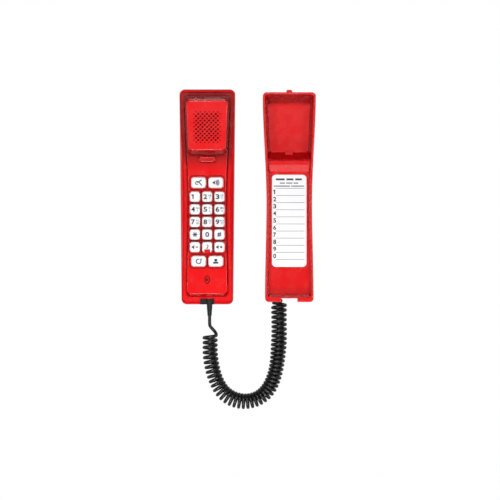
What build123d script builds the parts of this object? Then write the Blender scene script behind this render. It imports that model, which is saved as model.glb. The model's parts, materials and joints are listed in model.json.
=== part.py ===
from build123d import *
import os
from math import cos, pi, radians, sin, tan

# Slimline wall telephone: a hollow wall base and a keypad handset beside it, joined by a curly
# cord. Millimetres. +Z is up, +X is right, the wall is the plane y = 0 and the room is on -Y.
# The origin is on the wall, at the middle of the base's back.

os.makedirs("parts", exist_ok=True)

# ---- driving dimensions: outline shared by the base's rim and the handset's channel ----
WAIST_LEVEL = -5.0  # height at which the base is narrowest
HALF_WIDTH_TOP = 26.4
HALF_WIDTH_WAIST = 22.6
HALF_WIDTH_BOTTOM = 24.15
SIDE_POINTS = 7  # spline points along each waisted side

# ---- base ----
BASE_TOP = 104.5
BASE_BOTTOM = -104.3
HOUSING_BOTTOM = -98.5  # the rear housing stops above the bottom rim
BASE_DEPTH = 34.0  # wall to the front of the rim
BASE_CORNER = 4.0
RIM = 2.2
RIM_EDGE = 1.0
COVER_THICKNESS = 3.0
SHALLOW_FLOOR = 26.0  # distance of each floor from the wall
DEEP_FLOOR = 13.0
FLOOR_THICKNESS = 2.0
SHALLOW_DRAFT = 1.5
TRAY_BOTTOM = -99.5
TRAY_FLOOR_BOTTOM = -97.5
TRAY_TOP = 60.0  # runs into the deep recess
TRAY_CORNER = 3.0
TRAY_FLOOR_CORNER = 1.5
DEEP_TOP = 95.7
DEEP_FOOT = 45.5
DEEP_MOUTH_FOOT = 32.6  # the step's slope carried on to the rim plane
HOUSING_TOP = 35.0
DEEP_HALF_TOP = 21.2
DEEP_HALF_FOOT = 18.9
SKIRT_BACK = 22.0  # the bottom rim is only this far in front of the wall
NOTCH_WIDTH = 16.2
NOTCH_TOP = -100.65
TAB_WIDTH = 6.6
TAB_TAPER = 0.9
TAB_CORNER = 0.4
TAB_HEIGHT = 2.5
TAB_FRONT = 31.5
TAB_BACK = 25.0
CARD_WIDTH = 34.5
CARD_HEIGHT = 92.0
CARD_LEVEL = -23.4
CARD_CORNER = 4.0
CARD_THICKNESS = 0.4
CARD_POCKET = 0.5
CARD_PLAY = 0.8
WALL_HOLE_RADIUS = 2.25
WALL_HOLE_LEVELS = (6.6, -53.4)  # both are hidden behind the card
ACCESS_RADIUS = 4.5
COVER_SETBACK = 0.3
COVER_EDGE = 0.8
RIB = 1.4
CORD_OPENING = 7.4
NETWORK_X = 9.5
NETWORK_Y = -9.6
NETWORK_OPENING = (12.6, 8.4)
CORD_JACK_SIZE = (11.0, 8.8)
CORD_POCKET = (6.5, 6.4)
NETWORK_JACK_SIZE = (14.6, 9.6)
NETWORK_POCKET = (11.8, 7.6)
JACK_HEIGHT = 14.0
JACK_POCKET = 11.0
BASE_BOARD_BACK = 20.0
BASE_BOARD_HALF = 13.5
BASE_BOARD_LEVELS = (-94.0, 30.0)
BASE_CHIP = (6.0, 9.0)
BASE_CHIP_GRID = (14.0, 22.0, 2, 2)
CHIP_HEIGHT = 1.2
BASE_SCREWS = ((18.0, 88.0), (-18.0, 88.0), (17.0, -75.0), (-17.0, -75.0))
BOSS_RADIUS = 3.0
PILOT_RADIUS = 1.1
SCREW_RADIUS = 1.1
SCREW_HEAD_RADIUS = 2.3
SCREW_HEAD = 1.6
SCREW_HEX = 1.2
SCREW_GRIP = 7.0
PAD_RADIUS = 4.0
PAD_THICKNESS = 0.8
PAD_PLACES = ((14.0, 70.0), (-14.0, 70.0), (14.0, -58.0), (-14.0, -58.0))

# ---- handset, measured forwards from the floor of the channel that takes the base's rim ----
HANDSET_X = -81.8
CHANNEL_PLANE = 23.5  # distance of the channel floor from the wall
HANDSET_TOP = 108.5
HANDSET_BOTTOM = -107.0
HANDSET_HALF_TOP = 28.1
HANDSET_HALF_BOTTOM = 26.0
HANDSET_CORNER = 5.5
HANDSET_BACK = -20.0
SHOULDER = -6.0
SHOULDER_STEPS = 3
LIP_HEIGHT = 1.2
LIP_THICKNESS = 0.7
LIP_TOP = 105.0
LIP_BOTTOM = -104.9
LIP_END = 1.2  # lip thickness at the two ends
RIM_CLEARANCE = 0.5
BACK_ROUND = 4.6
SHELL = 3.0
SHELL_BACK = 2.2
PLATE = 2.0
SEAM = 0.15
GROOVE_INSET = 2.4  # a dark groove runs between the rim's seat and the raised panel
GROOVE_DEPTH = 1.2
SIDE_GROOVE_DEPTH = 3.5
SIDE_GROOVE_LEVELS = (-84.5, 88.5)
SKIRT_INSET = 1.6  # walls behind the plate carry the deeper groove along both sides
SKIRT_DEPTH = 5.0
SKIRT_MARGIN = 1.5
STRIP_CORNER = 0.5
PANEL_FACE = 5.5
PANEL_INSET = 3.3
PANEL_DRAFT = 0.8
PANEL_TOP = 100.3
PANEL_FOOT = -98.5
PANEL_BOTTOM_DRAFT = 2.5
PANEL_CAVITY_INSET = 4.6
PANEL_SKIN = 2.0
PANEL_CORNER = 4.0
PANEL_EDGE = 0.6
CAVITY_TOP = 93.0
CAVITY_BOTTOM = -88.0
BLOCK_FACE = 19.5
BLOCK_FOOT = (22.0, 99.3, 19.7, 43.0)  # half width at top, top, half width at bottom, bottom
BLOCK_FRONT = (20.7, 95.6, 18.4, 46.5)
BLOCK_CORNER = 4.4
BLOCK_EDGE = 1.0
CHAMBER_HALF = 16.2
CHAMBER_LEVELS = (49.0, 92.0)
RECEIVER_LEVEL = 69.3
GRILLE_PITCH = 2.15
GRILLE_ROWS = 15
GRILLE_HOLE = 1.0
GRILLE_OUTER_HOLE = 0.6
MICROPHONE_LEVEL = -82.1
MICROPHONE_HOLE = 0.6
OVAL_WIDTH = 5.4
OVAL_HEIGHT = 8.2
OVAL_LINE = 0.6
OVAL_DEPTH = 0.4
LIGHT_PLACE = (2.7, 25.5)
LIGHT_RADIUS = 0.6

# ---- hook plunger ----
PLUNGER_LEVEL = 37.9
PLUNGER_WIDTH = 17.0
PLUNGER_HEIGHT = 5.4
PLUNGER_FRONT = 6.9
PLUNGER_RECESS = (20.2, 7.8)
RECESS_DEPTH = 0.8
PRESSER_FRONT = 27.3
PRESSER_HALF = 21.5
PRESSER_LEVELS = (32.5, 38.7)
PRESSER_RAMP = 3.5
PRESSER_ROOT = 2.5  # how deep the crest goes into the floor
PRESSER_BEVEL = 2.2
FAIRING = 12.0  # a long ramp leads from the tray's floor up to the crest
FAIRING_ROOT = 1.0
FAIRING_TOP = 2.5
REST_WIDTH = 7.4
REST_LEVELS = (41.0, 45.4)
REST_FRONT = 17.0
PLUNGER_FLANGE = 1.2
PLUNGER_EDGE = 0.9
SWITCH_OFFSET = 5.0
SWITCH_SIZE = (5.0, 4.0)
SWITCH_HEIGHT = 1.0
SWITCH_BUTTON_RADIUS = 1.0
SWITCH_BUTTON = 0.3
SPRING_RADIUS = 1.5
SPRING_WIRE = 0.3
SPRING_PITCH = 0.36
SPRING_TURNS = 3

# ---- keys ----
KEY_GRID_TOP = 0.6
KEY_ROW_PITCH = 12.55
KEY_COLUMN_PITCH = 12.15
KEY_SIZE = (9.7, 9.8)
WIDE_KEY_SIZE = (14.0, 10.2)
WIDE_KEY_OFFSET = 8.55
WIDE_KEY_LEVELS = (14.6, -63.7)
KEY_FRONT = 6.8
KEY_CORNER = 2.2
KEY_EDGE = 0.45
KEY_GAP = 0.5
KEY_FLANGE = 0.6
KEY_FLANGE_LEVELS = (2.0, 3.3)
KEY_ROWS = (
    ("key_1", "key_2", "key_3"),
    ("key_4", "key_5", "key_6"),
    ("key_7", "key_8", "key_9"),
    ("key_star", "key_0", "key_hash"),
    ("key_volume_down", "key_mute", "key_volume_up"),
)
WIDE_KEYS = (("key_flash", "key_speaker"), ("key_redial", "key_service"))
TONGUE_WIDTH = 5.2
TONGUE_HEIGHT = 2.7
TONGUE_FRONT = 6.4
TONGUE_FOOT = KEY_GRID_TOP - 4 * KEY_ROW_PITCH - KEY_SIZE[1] / 2 - KEY_GAP - 1.0

# ---- inside the handset ----
BOARD_BACK = -2.6
BOARD_THICKNESS = 1.6
BOARD_HALF = 17.3
BOARD_LEVELS = (-86.0, 44.0)
BOARD_CORNER = 2.0
KEYPAD_CHIP = (7.0, 10.0)
KEYPAD_CHIP_GRID = (16.0, 30.0, 2, 4)
MEMBRANE_LEVELS = (-71.0, 22.0)
MEMBRANE_THICKNESS = 1.0
DOME_RADIUS = 2.4
DOME_TOP = 0.8
DOME_TAPER = 20
SPEAKER_RADIUS = 15.0
SPEAKER_FRONT = 16.3
SPEAKER_FLANGE = 2.0
CONE_RADIUS = 4.0
CONE_DEPTH = 1.5
BASKET_DEPTHS = (2.2, 4.5, 5.0)
MAGNET_RADIUS = 8.0
MAGNET_DEPTH = 8.0
CLOTH_SIZE = (31.0, 36.0)
CLOTH_THICKNESS = 0.3
CAPSULE_RADIUS = 3.0
CAPSULE_HEIGHT = 2.5
LIGHT_BODY = 1.6
WEIGHT_SIZE = (30.0, 70.0)
WEIGHT_THICKNESS = 4.0
HEAD_SINK = 1.0
HANDSET_SCREWS = ((0.0, 96.3), (15.0, -94.0), (-15.0, -94.0))
SCREW_TIP = 3.0
SOCKET_LEFT = -7.1
SOCKET_RIGHT = 7.0
SOCKET_TOP = -101.3
SOCKET_BACK = -10.0
SOCKET_FRONT = 1.6
SOCKET_HEIGHT = 12.0

# ---- cord ----
WIRE_DIAMETER = 3.0
COIL_DIAMETER = 15.6
PLUG_SIZE = (6.1, 6.0)
HANDSET_PLUG_X = HANDSET_X + 2.15
HANDSET_PLUG_Y = -18.2
BASE_PLUG_X = -10.0
BASE_PLUG_Y = -9.0
BASE_PLUG_FOOT = -99.0
BASE_BOOT_RADIUS = 2.6
PLUG_LENGTH = 10.0
PLUG_EDGE = 0.6
BOOT_TOP = -106.2
BOOT_BOTTOM = -118.5
BOOT_RADIUS = 3.0
BOOT_TIP_RADIUS = 2.1
COIL_TOP = -101.0
ARC_SHARE = 0.45  # arc tangent length over the shorter run
COIL_ROUTE = (
    (-10.0, -9.0, -101.0),
    (-10.0, -9.0, -119.0),
    (-9.7, -9.0, -138.0),
    (-10.8, -9.2, -158.0),
    (-13.6, -9.6, -177.5),
    (-21.5, -10.4, -195.3),
    (-35.5, -12.0, -204.3),
    (-52.0, -13.8, -204.4),
    (-65.8, -15.2, -196.8),
    (-74.4, -16.3, -181.5),
    (-79.1, -17.2, -161.0),
    (-79.1, -17.2, -141.5),
)
LEAD_ROUTE = (
    (-79.65, -18.2, -118.5),
    (-79.65, -18.2, -126.0),
    (-79.1, -17.2, -134.0),
    (-79.1, -17.2, -141.5),
)


def base_plane(distance):
    """The plane facing the room at this distance from the wall, centred on the base."""
    return Plane(origin=(0, -distance, 0), x_dir=(1, 0, 0), z_dir=(0, -1, 0))


def handset_plane(height):
    """The plane facing the room at this height over the handset's channel floor."""
    return Plane(origin=(HANDSET_X, -CHANNEL_PLANE - height, 0), x_dir=(1, 0, 0), z_dir=(0, -1, 0))


def half_width(level):
    """Half the base's width at this height: widest at the top, waisted, wider again below."""
    if level > WAIST_LEVEL:
        share = (level - WAIST_LEVEL) / (BASE_TOP - WAIST_LEVEL)
        end = HALF_WIDTH_TOP
    else:
        share = (WAIST_LEVEL - level) / (WAIST_LEVEL - BASE_BOTTOM)
        end = HALF_WIDTH_BOTTOM
    return HALF_WIDTH_WAIST + (end - HALF_WIDTH_WAIST) * share**2 * (3 - 2 * share)


def waisted_face(inset, bottom, top, corner):
    """A face inside the waisted outline, this far in from its sides."""
    step = (top - bottom) / (SIDE_POINTS - 1)
    levels = [bottom + step * i for i in range(SIDE_POINTS)]
    with BuildSketch() as face:
        with BuildLine():
            right = Spline(*[(half_width(level) - inset, level) for level in levels])
            left = Spline(*[(inset - half_width(level), level) for level in levels])
            Line(right @ 0, left @ 0)
            Line(right @ 1, left @ 1)
        make_face()
        fillet(face.vertices(), corner)
    return face.sketch


def tapered_face(half_top, top, half_bottom, bottom, corner):
    """A face with straight sloping sides and rounded corners."""
    with BuildSketch() as face:
        with BuildLine():
            Polyline(
                (half_top, top),
                (half_bottom, bottom),
                (-half_bottom, bottom),
                (-half_top, top),
                close=True,
            )
        make_face()
        fillet(face.vertices(), corner)
    return face.sketch


def handset_face(inset):
    """The handset's straight-tapered outline, this far in from its sides."""
    return tapered_face(
        HANDSET_HALF_TOP - inset,
        HANDSET_TOP - inset,
        HANDSET_HALF_BOTTOM - inset,
        HANDSET_BOTTOM + inset,
        HANDSET_CORNER - inset * 0.8,
    )


def shoulder_face(share):
    """An outline of the rounded shoulder: the straight one at share 0, the waisted lip at 1."""
    top = HANDSET_TOP + (LIP_TOP + LIP_END - HANDSET_TOP) * share
    bottom = HANDSET_BOTTOM + (LIP_BOTTOM - LIP_END - HANDSET_BOTTOM) * share
    sides = []
    for i in range(SIDE_POINTS):
        level = bottom + (top - bottom) * i / (SIDE_POINTS - 1)
        up = (level - HANDSET_BOTTOM) / (HANDSET_TOP - HANDSET_BOTTOM)
        straight = HANDSET_HALF_BOTTOM + (HANDSET_HALF_TOP - HANDSET_HALF_BOTTOM) * up
        lip = half_width(level) + RIM_CLEARANCE + LIP_THICKNESS
        sides.append((straight + (lip - straight) * share, level))
    with BuildSketch() as face:
        with BuildLine():
            right = Spline(*sides)
            left = Spline(*[(-x, level) for x, level in sides])
            Line(right @ 0, left @ 0)
            Line(right @ 1, left @ 1)
        make_face()
        fillet(face.vertices(), HANDSET_CORNER)
    return face.sketch


def key_places():
    """Name, place and size of every key, in the handset's own front view."""
    places = []
    for row, names in enumerate(KEY_ROWS):
        for column, name in enumerate(names):
            place = ((column - 1) * KEY_COLUMN_PITCH, KEY_GRID_TOP - row * KEY_ROW_PITCH)
            places.append((name, place, KEY_SIZE))
    for names, level in zip(WIDE_KEYS, WIDE_KEY_LEVELS):
        for side, name in zip((-1, 1), names):
            places.append((name, (side * WIDE_KEY_OFFSET, level), WIDE_KEY_SIZE))
    return places


def save(part, name):
    """Labels a finished piece and writes it as its own STEP file."""
    part.label = name
    export_step(part, f"parts/{name}.step")


def arc_radii(points):
    """For each corner of a route, the radius of the largest arc that its two runs allow."""
    corners = [Vector(*p) for p in points]
    radii = []
    for before, corner, after in zip(corners, corners[1:], corners[2:]):
        turn = (corner - before).get_angle(after - corner)
        run = min((corner - before).length, (after - corner).length)
        radii.append(ARC_SHARE * run / tan(radians(turn / 2)))
    return radii


# ================= base =================

# The front shell is one moulding: a deep recess that takes the earpiece, a shallow tray that
# takes the keypad, and a rim that nests in the handset's channel.
with BuildPart() as base_front_shell:
    with BuildSketch(base_plane(COVER_THICKNESS)):
        add(waisted_face(0, BASE_BOTTOM, BASE_TOP, BASE_CORNER))
    extrude(amount=BASE_DEPTH - COVER_THICKNESS)
    rim_face = base_front_shell.faces().sort_by(Axis.Y)[0]
    fillet(rim_face.edges(), RIM_EDGE)
    # shallow tray
    with BuildSketch(base_plane(BASE_DEPTH)):
        add(waisted_face(RIM, TRAY_BOTTOM, TRAY_TOP, TRAY_CORNER))
    with BuildSketch(base_plane(SHALLOW_FLOOR)):
        add(waisted_face(RIM + SHALLOW_DRAFT, TRAY_FLOOR_BOTTOM, TRAY_TOP, TRAY_FLOOR_CORNER))
    loft(mode=Mode.SUBTRACT)
    # deep recess, with a sloping step down from the tray
    with BuildSketch(base_plane(BASE_DEPTH)):
        add(waisted_face(RIM, DEEP_MOUTH_FOOT, BASE_TOP - RIM, TRAY_CORNER))
    with BuildSketch(base_plane(DEEP_FLOOR)):
        add(tapered_face(DEEP_HALF_TOP, DEEP_TOP, DEEP_HALF_FOOT, DEEP_FOOT, TRAY_CORNER))
    loft(mode=Mode.SUBTRACT)
    # crest at the top of the tray, which presses the handset's hook plunger
    crest_foot, crest_top = PRESSER_LEVELS
    with BuildSketch(base_plane(SHALLOW_FLOOR - PRESSER_ROOT)):
        with Locations((0, crest_foot - PRESSER_RAMP)):
            Rectangle(
                2 * PRESSER_HALF,
                crest_top - crest_foot + PRESSER_RAMP,
                align=(Align.CENTER, Align.MIN),
            )
    with BuildSketch(base_plane(PRESSER_FRONT)):
        with Locations((0, crest_foot)):
            Rectangle(
                2 * PRESSER_HALF,
                crest_top - crest_foot - PRESSER_BEVEL,
                align=(Align.CENTER, Align.MIN),
            )
    loft()
    with BuildSketch(base_plane(SHALLOW_FLOOR - FAIRING_ROOT)):
        with Locations((0, crest_foot - FAIRING)):
            Rectangle(2 * PRESSER_HALF, FAIRING + FAIRING_TOP, align=(Align.CENTER, Align.MIN))
    with BuildSketch(base_plane(PRESSER_FRONT)):
        with Locations((0, crest_foot)):
            Rectangle(2 * PRESSER_HALF, FAIRING_TOP, align=(Align.CENTER, Align.MIN))
    loft()
    # small rest on the step for the earpiece block
    with BuildSketch(base_plane(DEEP_FLOOR - FLOOR_THICKNESS / 2)):
        with Locations((0, sum(REST_LEVELS) / 2)):
            Rectangle(REST_WIDTH, REST_LEVELS[1] - REST_LEVELS[0])
    extrude(amount=REST_FRONT - DEEP_FLOOR + FLOOR_THICKNESS / 2)
    # the bottom rim is a skirt in front of the rear housing, notched for the handset's socket
    with BuildSketch(base_plane(0)):
        with Locations((0, HOUSING_BOTTOM)):
            Rectangle(3 * HALF_WIDTH_TOP, SKIRT_BACK, align=(Align.CENTER, Align.MAX))
    extrude(amount=SKIRT_BACK, mode=Mode.SUBTRACT)
    with BuildSketch(base_plane(0)):
        with Locations((0, NOTCH_TOP)):
            Rectangle(NOTCH_WIDTH, BASE_DEPTH, align=(Align.CENTER, Align.MAX))
    extrude(amount=2 * BASE_DEPTH, mode=Mode.SUBTRACT)
    # hollow behind both floors
    with BuildSketch(base_plane(COVER_THICKNESS)):
        add(waisted_face(RIM, HOUSING_BOTTOM + RIM, BASE_TOP - RIM, TRAY_CORNER))
    extrude(amount=DEEP_FLOOR - FLOOR_THICKNESS - COVER_THICKNESS, mode=Mode.SUBTRACT)
    with BuildSketch(base_plane(COVER_THICKNESS)):
        add(waisted_face(RIM, HOUSING_BOTTOM + RIM, HOUSING_TOP, TRAY_CORNER))
    extrude(amount=SHALLOW_FLOOR - FLOOR_THICKNESS - COVER_THICKNESS, mode=Mode.SUBTRACT)
    # screw bosses
    for x, level in BASE_SCREWS:
        ceiling = SHALLOW_FLOOR if level < HOUSING_TOP else DEEP_FLOOR
        with BuildSketch(base_plane(COVER_THICKNESS)):
            with Locations((x, level)):
                Circle(BOSS_RADIUS)
        extrude(amount=ceiling - FLOOR_THICKNESS - COVER_THICKNESS)
    with BuildSketch(base_plane(COVER_THICKNESS)):
        with Locations(*BASE_SCREWS):
            Circle(PILOT_RADIUS)
    extrude(amount=SCREW_GRIP, mode=Mode.SUBTRACT)
    # card pocket, and access holes behind it for the wall screws
    with BuildSketch(base_plane(SHALLOW_FLOOR - CARD_POCKET)):
        with Locations((0, CARD_LEVEL)):
            RectangleRounded(CARD_WIDTH + CARD_PLAY, CARD_HEIGHT + CARD_PLAY, CARD_CORNER)
    extrude(amount=2 * CARD_POCKET, mode=Mode.SUBTRACT)
    with BuildSketch(base_plane(SHALLOW_FLOOR - 2 * FLOOR_THICKNESS)):
        with Locations(*[(0, level) for level in WALL_HOLE_LEVELS]):
            Circle(ACCESS_RADIUS)
    extrude(amount=2 * FLOOR_THICKNESS, mode=Mode.SUBTRACT)
    # openings for the two jacks in the housing's underside
    with BuildSketch(Plane.XY.offset(HOUSING_BOTTOM)):
        with Locations((BASE_PLUG_X, BASE_PLUG_Y)):
            Rectangle(CORD_OPENING, CORD_OPENING)
        with Locations((NETWORK_X, NETWORK_Y)):
            Rectangle(*NETWORK_OPENING)
    extrude(amount=RIM, mode=Mode.SUBTRACT)
    # catch on the top edge
    with BuildSketch(base_plane(TAB_BACK)):
        add(
            tapered_face(
                TAB_WIDTH / 2 - TAB_TAPER,
                BASE_TOP + TAB_HEIGHT,
                TAB_WIDTH / 2,
                BASE_TOP - TAB_TAPER,
                TAB_CORNER,
            )
        )
    extrude(amount=TAB_FRONT - TAB_BACK)
save(base_front_shell.part, "base_front_shell")

# The rear cover closes the hollow, with a locating rib inside the front shell's walls.
with BuildPart() as base_rear_cover:
    with BuildSketch(base_plane(0)):
        add(waisted_face(COVER_SETBACK, HOUSING_BOTTOM, BASE_TOP - COVER_SETBACK, BASE_CORNER))
    extrude(amount=COVER_THICKNESS)
    back_face = base_rear_cover.faces().sort_by(Axis.Y)[-1]
    fillet(back_face.edges(), COVER_EDGE)
    with BuildSketch(base_plane(COVER_THICKNESS)):
        outside = RIM + SEAM
        inside = RIM + RIB
        add(waisted_face(outside, HOUSING_BOTTOM + outside, BASE_TOP - outside, TRAY_CORNER))
        add(
            waisted_face(inside, HOUSING_BOTTOM + inside, BASE_TOP - inside, TRAY_CORNER - RIB),
            mode=Mode.SUBTRACT,
        )
    extrude(amount=RIB)
    with BuildSketch(base_plane(0)):
        with Locations(*[(0, level) for level in WALL_HOLE_LEVELS]):
            Circle(WALL_HOLE_RADIUS)
        with Locations(*BASE_SCREWS):
            Circle(SCREW_RADIUS + SEAM)
    extrude(amount=COVER_THICKNESS, mode=Mode.SUBTRACT)
    with BuildSketch(base_plane(0)):
        with Locations(*BASE_SCREWS):
            Circle(SCREW_HEAD_RADIUS + SEAM)
    extrude(amount=SCREW_HEAD + SEAM, mode=Mode.SUBTRACT)
    with BuildSketch(base_plane(0)):
        with Locations(*PAD_PLACES):
            Circle(PAD_RADIUS + SEAM)
    extrude(amount=PAD_THICKNESS, mode=Mode.SUBTRACT)
save(base_rear_cover.part, "base_rear_cover")

# Four soft pads lie in the cover's back, flush with it, so that it doesn't mark the wall.
with BuildPart() as wall_pads:
    with BuildSketch(base_plane(0)):
        with Locations(*PAD_PLACES):
            Circle(PAD_RADIUS)
    extrude(amount=PAD_THICKNESS)
save(wall_pads.part, "wall_pads")

# Four screws go through the cover into the shell's bosses.
with BuildPart() as base_screws:
    with BuildSketch(base_plane(SEAM)):
        with Locations(*BASE_SCREWS):
            Circle(SCREW_HEAD_RADIUS)
            RegularPolygon(SCREW_HEX, 6, mode=Mode.SUBTRACT)
    extrude(amount=SCREW_HEAD / 2)
    with BuildSketch(base_plane(SEAM + SCREW_HEAD / 2)):
        with Locations(*BASE_SCREWS):
            Circle(SCREW_HEAD_RADIUS)
    extrude(amount=SCREW_HEAD / 2)
    with BuildSketch(base_plane(SEAM + SCREW_HEAD)):
        with Locations(*BASE_SCREWS):
            Circle(SCREW_RADIUS - SEAM / 2)
    extrude(amount=SCREW_GRIP)
save(base_screws.part, "base_screws")

# The number card lies in its pocket, over the wall screws.
with BuildPart() as directory_card:
    with BuildSketch(base_plane(SHALLOW_FLOOR - CARD_POCKET)):
        with Locations((0, CARD_LEVEL)):
            RectangleRounded(CARD_WIDTH, CARD_HEIGHT, CARD_CORNER)
    extrude(amount=CARD_THICKNESS)
save(directory_card.part, "directory_card")

# The base's board stands behind the tray, with holes round the wall screws.
with BuildPart() as base_circuit_board:
    with BuildSketch(base_plane(BASE_BOARD_BACK)):
        with Locations((0, sum(BASE_BOARD_LEVELS) / 2)):
            Rectangle(2 * BASE_BOARD_HALF, BASE_BOARD_LEVELS[1] - BASE_BOARD_LEVELS[0])
        with Locations(*[(0, level) for level in WALL_HOLE_LEVELS]):
            Circle(ACCESS_RADIUS + 1, mode=Mode.SUBTRACT)
    extrude(amount=BOARD_THICKNESS)
    with BuildSketch(base_plane(BASE_BOARD_BACK)):
        with GridLocations(*BASE_CHIP_GRID):
            with Locations((0, CARD_LEVEL)):
                Rectangle(*BASE_CHIP)
    extrude(amount=-CHIP_HEIGHT)
save(base_circuit_board.part, "base_circuit_board")


def jack(name, place, size, pocket):
    """A modular jack on the base's board, with its mouth down."""
    with BuildPart() as body:
        with BuildSketch(Plane.XY.offset(HOUSING_BOTTOM + RIM)):
            with Locations(place):
                Rectangle(*size)
        extrude(amount=JACK_HEIGHT)
        with BuildSketch(Plane.XY.offset(HOUSING_BOTTOM + RIM)):
            with Locations(place):
                Rectangle(*pocket)
        extrude(amount=JACK_POCKET, mode=Mode.SUBTRACT)
    save(body.part, name)


jack("cord_jack", (BASE_PLUG_X, BASE_PLUG_Y), CORD_JACK_SIZE, CORD_POCKET)
jack("network_jack", (NETWORK_X, NETWORK_Y), NETWORK_JACK_SIZE, NETWORK_POCKET)

# ================= handset shells =================

# The outer shell is a rounded trough. Its lip follows the base's rim, so between the lip and
# the straight outer side a slope widens towards the waist.
with BuildPart() as handset_outer_shell:
    with BuildSketch(handset_plane(HANDSET_BACK)):
        add(handset_face(0))
    extrude(amount=SHOULDER - HANDSET_BACK)
    back_face = handset_outer_shell.faces().sort_by(Axis.Y)[-1]
    fillet(back_face.edges(), BACK_ROUND)
    for step in range(SHOULDER_STEPS + 1):
        angle = pi / 2 * step / SHOULDER_STEPS
        height = SHOULDER + (LIP_HEIGHT - SHOULDER) * sin(angle)
        with BuildSketch(handset_plane(height)):
            add(shoulder_face(1 - cos(angle)))
    loft()
    with BuildSketch(handset_plane(HANDSET_BACK + SHELL_BACK)):
        add(handset_face(SHELL))
    extrude(amount=-PLATE - HANDSET_BACK - SHELL_BACK, mode=Mode.SUBTRACT)
    with BuildSketch(handset_plane(-PLATE)):
        add(waisted_face(-RIM_CLEARANCE, LIP_BOTTOM, LIP_TOP, BASE_CORNER))
    extrude(amount=2 * PLATE + LIP_HEIGHT, mode=Mode.SUBTRACT)
    # bosses for the three screws from the back
    with BuildSketch(handset_plane(HANDSET_BACK + SHELL_BACK)):
        with Locations(*HANDSET_SCREWS):
            Circle(BOSS_RADIUS)
    extrude(amount=-PLATE - HANDSET_BACK - SHELL_BACK)
    with BuildSketch(handset_plane(HANDSET_BACK)):
        with Locations(*HANDSET_SCREWS):
            Circle(SCREW_RADIUS + SEAM)
    extrude(amount=-PLATE - HANDSET_BACK, mode=Mode.SUBTRACT)
    with BuildSketch(handset_plane(HANDSET_BACK)):
        with Locations(*HANDSET_SCREWS):
            Circle(SCREW_HEAD_RADIUS + SEAM)
    extrude(amount=HEAD_SINK + SCREW_HEAD, mode=Mode.SUBTRACT)
    # cut-out for the cord socket, open to the front and below
    with BuildSketch(handset_plane(SOCKET_BACK)):
        with Locations(((SOCKET_LEFT + SOCKET_RIGHT) / 2, SOCKET_TOP)):
            Rectangle(SOCKET_RIGHT - SOCKET_LEFT, BASE_DEPTH, align=(Align.CENTER, Align.MAX))
    extrude(amount=2 * LIP_HEIGHT - SOCKET_BACK, mode=Mode.SUBTRACT)
save(handset_outer_shell.part, "handset_outer_shell")

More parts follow.
